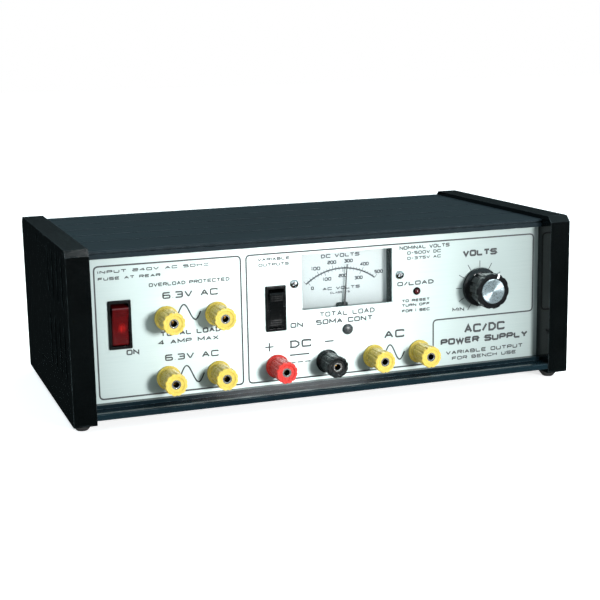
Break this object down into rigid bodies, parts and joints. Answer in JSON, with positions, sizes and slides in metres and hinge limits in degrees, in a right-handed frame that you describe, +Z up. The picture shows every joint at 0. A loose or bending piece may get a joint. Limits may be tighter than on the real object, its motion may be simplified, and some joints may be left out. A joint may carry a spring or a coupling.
{
  "type": "bench power supply",
  "caption": "Low wide bench power supply with side cheeks, ribbed cover, AC and DC binding posts, rocker switches, volts meter and rotary volts control.",
  "frame": {"origin": "centre of the bounding box at the bottom of the feet", "axes": "+X to the right along the front panel, +Y from the front to the back, +Z up"},
  "size_m": [0.346, 0.1816, 0.115],
  "materials": {
    "cover_anodised": "black anodised ribbed extrusion, satin",
    "cheek_plastic": "glossy black moulding",
    "panel_front": "satin silver, printed",
    "panel_rear": "black powder coat",
    "screw_bright": "bright plated",
    "foot_rubber": "matt black",
    "chassis_zinc": "zinc plated sheet",
    "switch_black": "black moulding",
    "rocker_red": "translucent red, lit from inside",
    "contact_brass": "plated contacts",
    "meter_black": "black moulding",
    "dial_white": "white printed plate",
    "needle_black": "matt black",
    "meter_glass": "clear acrylic",
    "zero_grey": "grey moulding",
    "lamp_red": "diffused red lens",
    "knob_black": "black phenolic",
    "knob_spun": "spun finish",
    "shaft_steel": "turned",
    "brass_parts": "turned",
    "winding_copper": "enamelled copper wire",
    "variac_grey": "phenolic base",
    "stud_brass": "threaded",
    "nut_steel": "zinc plated",
    "post_yellow": "pale yellow moulding",
    "post_red": "red moulding",
    "post_black": "black moulding",
    "insert_nickel": "nickel plated",
    "core_steel": "varnished laminations",
    "board_green": "solder mask over glass laminate",
    "can_blue": "sleeved can",
    "inlet_black": "black moulding",
    "drawer_black": "black moulding"
  },
  "bodies": {
    "case": {"top_cover": "cover_anodised", "bottom_cover": "cover_anodised", "left_cheek": "cheek_plastic", "right_cheek": "cheek_plastic", "front_panel": "panel_front", "rear_panel": "panel_rear", "cheek_screws": "screw_bright", "feet": "foot_rubber", "chassis_plate": "chassis_zinc", "mains_switch_body": "switch_black", "output_switch_body": "switch_black", "switch_tabs": "contact_brass", "meter_case": "meter_black", "meter_dial": "dial_white", "meter_window": "meter_glass", "panel_screws": "screw_bright", "meter_movement": "meter_black", "overload_lamp": "lamp_red", "lamp_bezel": "switch_black", "shaft_nut": "brass_parts", "variac_winding": "winding_copper", "variac_base": "variac_grey", "terminal_studs": "stud_brass", "terminal_nuts": "nut_steel", "yellow_collars": "post_yellow", "red_collar": "post_red", "black_collar": "post_black", "transformer_core": "core_steel", "transformer_winding": "winding_copper", "transformer_bolts": "nut_steel", "circuit_board": "board_green", "capacitors": "can_blue", "board_standoffs": "brass_parts", "inlet_body": "inlet_black", "inlet_pins": "contact_brass"},
    "mains_rocker": {"mains_rocker": "rocker_red"},
    "output_rocker": {"output_rocker": "switch_black"},
    "needle": {"meter_needle": "needle_black"},
    "zero_screw": {"zero_screw": "zero_grey"},
    "control": {"knob_body": "knob_black", "knob_cap": "knob_spun", "control_shaft": "shaft_steel", "brush_arm": "brass_parts"},
    "fuse_drawer": {"fuse_drawer": "drawer_black"},
    "insert_ac1_left": {"insert_1": "insert_nickel"},
    "head_ac1_left": {"yellow_head_1": "post_yellow"},
    "insert_ac1_right": {"insert_2": "insert_nickel"},
    "head_ac1_right": {"yellow_head_2": "post_yellow"},
    "insert_ac2_left": {"insert_3": "insert_nickel"},
    "head_ac2_left": {"yellow_head_3": "post_yellow"},
    "insert_ac2_right": {"insert_4": "insert_nickel"},
    "head_ac2_right": {"yellow_head_4": "post_yellow"},
    "insert_dc_plus": {"insert_5": "insert_nickel"},
    "head_dc_plus": {"red_head": "post_red"},
    "insert_dc_minus": {"insert_6": "insert_nickel"},
    "head_dc_minus": {"black_head": "post_black"},
    "insert_ac3_left": {"insert_7": "insert_nickel"},
    "head_ac3_left": {"yellow_head_5": "post_yellow"},
    "insert_ac3_right": {"insert_8": "insert_nickel"},
    "head_ac3_right": {"yellow_head_6": "post_yellow"}
  },
  "joints": [
    {"name": "mains_switch", "type": "hinge", "parent": "case", "child": "mains_rocker", "pos_m": [-0.1382, -0.06625, 0.0638], "axis": [1, 0, 0], "range_deg": [-16, 0]},
    {"name": "output_switch", "type": "hinge", "parent": "case", "child": "output_rocker", "pos_m": [-0.0353, -0.06625, 0.0652], "axis": [1, 0, 0], "range_deg": [-16, 0]},
    {"name": "volts_control", "type": "hinge", "parent": "case", "child": "control", "pos_m": [0.1132, -0.07075, 0.0675], "axis": [0, 1, 0], "range_deg": [-172, 128]},
    {"name": "needle_swing", "type": "hinge", "parent": "case", "child": "needle", "pos_m": [0.0149, -0.06175, 0.0468], "axis": [0, 1, 0], "range_deg": [-44, 33], "stiffness_Nm_per_rad": 0.002},
    {"name": "zero_adjust", "type": "hinge", "parent": "case", "child": "zero_screw", "pos_m": [0.0149, -0.07075, 0.0468], "axis": [0, 1, 0], "range_deg": [-25, 25]},
    {"name": "fuse_drawer_slide", "type": "slide", "parent": "case", "child": "fuse_drawer", "axis": [0, 1, 0], "range_m": [0, 0.018]},
    {"name": "thread_ac1_left", "type": "slide", "parent": "case", "child": "insert_ac1_left", "axis": [0, -1, 0], "range_m": [0, 0.005]},
    {"name": "turn_ac1_left", "type": "hinge", "parent": "insert_ac1_left", "child": "head_ac1_left", "pos_m": [-0.1083, -0.08275, 0.0654], "axis": [0, -1, 0], "range_deg": [0, 1800]},
    {"name": "thread_ac1_right", "type": "slide", "parent": "case", "child": "insert_ac1_right", "axis": [0, -1, 0], "range_m": [0, 0.005]},
    {"name": "turn_ac1_right", "type": "hinge", "parent": "insert_ac1_right", "child": "head_ac1_right", "pos_m": [-0.0751, -0.08275, 0.0654], "axis": [0, -1, 0], "range_deg": [0, 1800]},
    {"name": "thread_ac2_left", "type": "slide", "parent": "case", "child": "insert_ac2_left", "axis": [0, -1, 0], "range_m": [0, 0.005]},
    {"name": "turn_ac2_left", "type": "hinge", "parent": "insert_ac2_left", "child": "head_ac2_left", "pos_m": [-0.1083, -0.08275, 0.0265], "axis": [0, -1, 0], "range_deg": [0, 1800]},
    {"name": "thread_ac2_right", "type": "slide", "parent": "case", "child": "insert_ac2_right", "axis": [0, -1, 0], "range_m": [0, 0.005]},
    {"name": "turn_ac2_right", "type": "hinge", "parent": "insert_ac2_right", "child": "head_ac2_right", "pos_m": [-0.0751, -0.08275, 0.0265], "axis": [0, -1, 0], "range_deg": [0, 1800]},
    {"name": "thread_dc_plus", "type": "slide", "parent": "case", "child": "insert_dc_plus", "axis": [0, -1, 0], "range_m": [0, 0.005]},
    {"name": "turn_dc_plus", "type": "hinge", "parent": "insert_dc_plus", "child": "head_dc_plus", "pos_m": [-0.0351, -0.08275, 0.0265], "axis": [0, -1, 0], "range_deg": [0, 1800]},
    {"name": "thread_dc_minus", "type": "slide", "parent": "case", "child": "insert_dc_minus", "axis": [0, -1, 0], "range_m": [0, 0.005]},
    {"name": "turn_dc_minus", "type": "hinge", "parent": "insert_dc_minus", "child": "head_dc_minus", "pos_m": [0.0001, -0.08275, 0.0265], "axis": [0, -1, 0], "range_deg": [0, 1800]},
    {"name": "thread_ac3_left", "type": "slide", "parent": "case", "child": "insert_ac3_left", "axis": [0, -1, 0], "range_m": [0, 0.005]},
    {"name": "turn_ac3_left", "type": "hinge", "parent": "insert_ac3_left", "child": "head_ac3_left", "pos_m": [0.0337, -0.08275, 0.0265], "axis": [0, -1, 0], "range_deg": [0, 1800]},
    {"name": "thread_ac3_right", "type": "slide", "parent": "case", "child": "insert_ac3_right", "axis": [0, -1, 0], "range_m": [0, 0.005]},
    {"name": "turn_ac3_right", "type": "hinge", "parent": "insert_ac3_right", "child": "head_ac3_right", "pos_m": [0.0672, -0.08275, 0.0265], "axis": [0, -1, 0], "range_deg": [0, 1800]}
  ],
  "couplings": [
    {"joint": "turn_ac1_left", "follows": "thread_ac1_left", "rad_per_m": 6283.2},
    {"joint": "turn_ac1_right", "follows": "thread_ac1_right", "rad_per_m": 6283.2},
    {"joint": "turn_ac2_left", "follows": "thread_ac2_left", "rad_per_m": 6283.2},
    {"joint": "turn_ac2_right", "follows": "thread_ac2_right", "rad_per_m": 6283.2},
    {"joint": "turn_dc_plus", "follows": "thread_dc_plus", "rad_per_m": 6283.2},
    {"joint": "turn_dc_minus", "follows": "thread_dc_minus", "rad_per_m": 6283.2},
    {"joint": "turn_ac3_left", "follows": "thread_ac3_left", "rad_per_m": 6283.2},
    {"joint": "turn_ac3_right", "follows": "thread_ac3_right", "rad_per_m": 6283.2}
  ]
}
